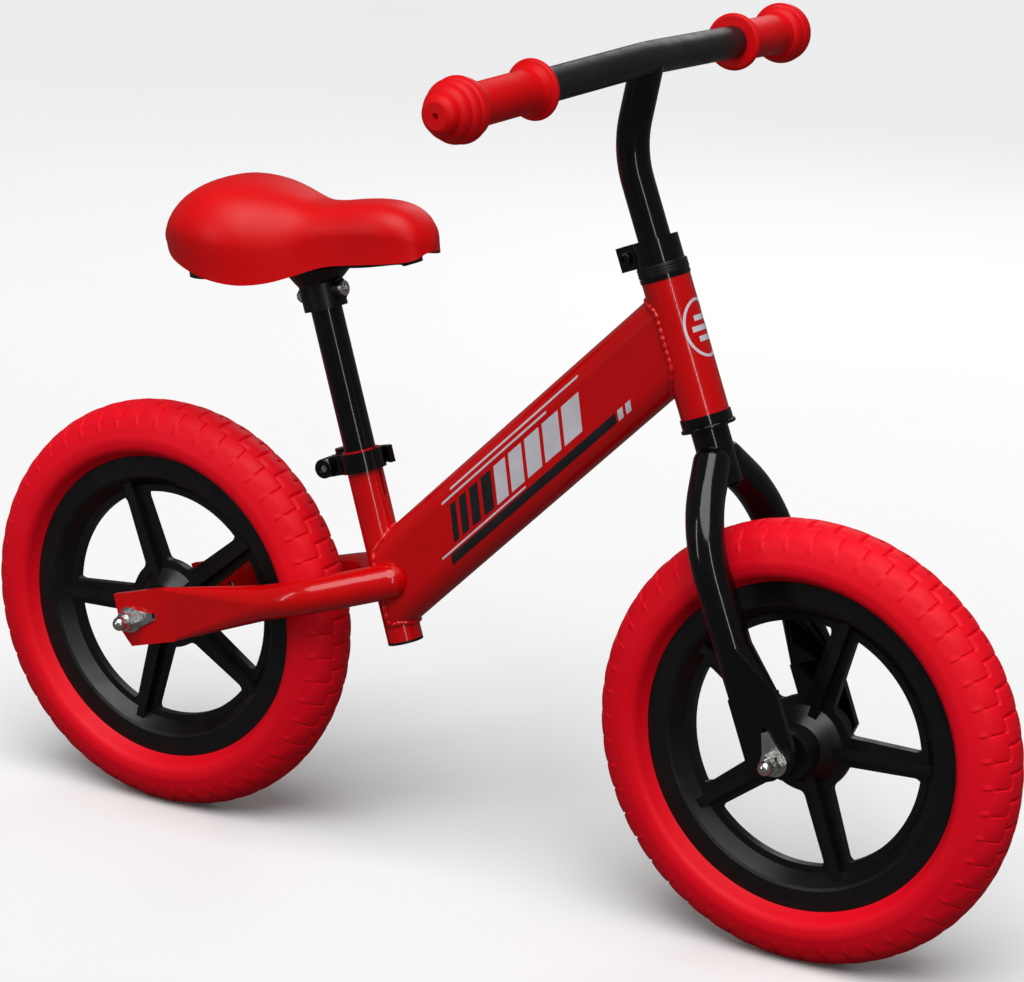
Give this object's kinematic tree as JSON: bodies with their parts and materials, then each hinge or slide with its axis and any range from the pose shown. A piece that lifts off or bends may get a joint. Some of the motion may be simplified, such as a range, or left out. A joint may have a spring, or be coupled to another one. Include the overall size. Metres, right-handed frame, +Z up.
{
  "type": "balance bike",
  "caption": "Pedal-free child's balance bike: red frame with a deep down tube, black fork, spoked plastic wheels with foam tyres, height-adjustable saddle and flanged grips.",
  "frame": {"origin": "on the ground, half way between the two axles, in the middle plane", "axes": "+X forward, +Y to the rider's left, +Z up"},
  "size_m": [0.824, 0.476, 0.6073],
  "materials": {
    "red_paint": "gloss",
    "black_steel": "gloss",
    "satin_black": "satin",
    "bare_steel": "satin",
    "bright_metal": "polished",
    "black_plastic": "satin",
    "red_foam": "matt",
    "red_rubber": "matt",
    "red_vinyl": "satin"
  },
  "bodies": {
    "frame": {"head_tube": "red_paint", "down_tube": "red_paint", "seat_tube": "red_paint", "right_chainstay": "red_paint", "left_chainstay": "red_paint", "seat_tube_plug": "black_plastic", "upper_headset_cup": "black_steel", "lower_headset_cup": "black_steel", "seat_clamp_collar": "black_steel", "seat_clamp_skewer": "bare_steel", "seat_clamp_nut": "black_steel", "rear_axle": "bare_steel", "rear_cap_nuts": "bright_metal", "rear_tab_washers": "bright_metal", "rear_axle_spacers": "black_plastic"},
    "clamp_lever": {"seat_clamp_lever": "black_steel"},
    "seat": {"seat_post": "black_steel", "saddle_base": "black_plastic", "saddle_pad": "red_vinyl", "saddle_bolt": "bright_metal", "saddle_bolt_nut": "bare_steel"},
    "fork": {"steerer": "black_steel", "right_fork_blade": "black_steel", "left_fork_blade": "black_steel", "crown_race": "black_steel", "headset_top_cover": "black_plastic", "steerer_clamp": "black_steel", "steerer_clamp_bolt": "black_steel", "steerer_clamp_nut": "bare_steel", "front_axle": "bare_steel", "front_cap_nuts": "bright_metal", "front_tab_washers": "bright_metal", "front_axle_spacers": "black_plastic"},
    "handlebar": {"stem": "black_steel", "handlebar_tube": "satin_black", "right_grip": "red_rubber", "left_grip": "red_rubber"},
    "front_wheel": {"front_wheel_rim": "black_plastic", "front_tyre": "red_foam", "front_hub_bushes": "black_plastic"},
    "rear_wheel": {"rear_wheel_rim": "black_plastic", "rear_tyre": "red_foam", "rear_hub_bushes": "black_plastic"}
  },
  "joints": [
    {"name": "steering", "type": "hinge", "parent": "frame", "child": "fork", "pos_m": [0.17316, 0, 0.36289], "axis": [-0.3584, 0, 0.9336], "continuous": true},
    {"name": "handlebar_height", "type": "slide", "parent": "fork", "child": "handlebar", "axis": [-0.3584, 0, 0.9336], "range_m": [-0.04, 0.03]},
    {"name": "front_wheel_spin", "type": "hinge", "parent": "fork", "child": "front_wheel", "pos_m": [0.26, 0, 0.152], "axis": [0, 1, 0], "continuous": true},
    {"name": "rear_wheel_spin", "type": "hinge", "parent": "frame", "child": "rear_wheel", "pos_m": [-0.26, 0, 0.152], "axis": [0, 1, 0], "continuous": true},
    {"name": "seat_height", "type": "slide", "parent": "frame", "child": "seat", "axis": [-0.2965, 0, 0.955], "range_m": [-0.035, 0.03]},
    {"name": "clamp_lever_swing", "type": "hinge", "parent": "frame", "child": "clamp_lever", "pos_m": [-0.11894, 0.0185, 0.28009], "axis": [-0.2965, 0, 0.955], "range_deg": [0, 135]}
  ]
}
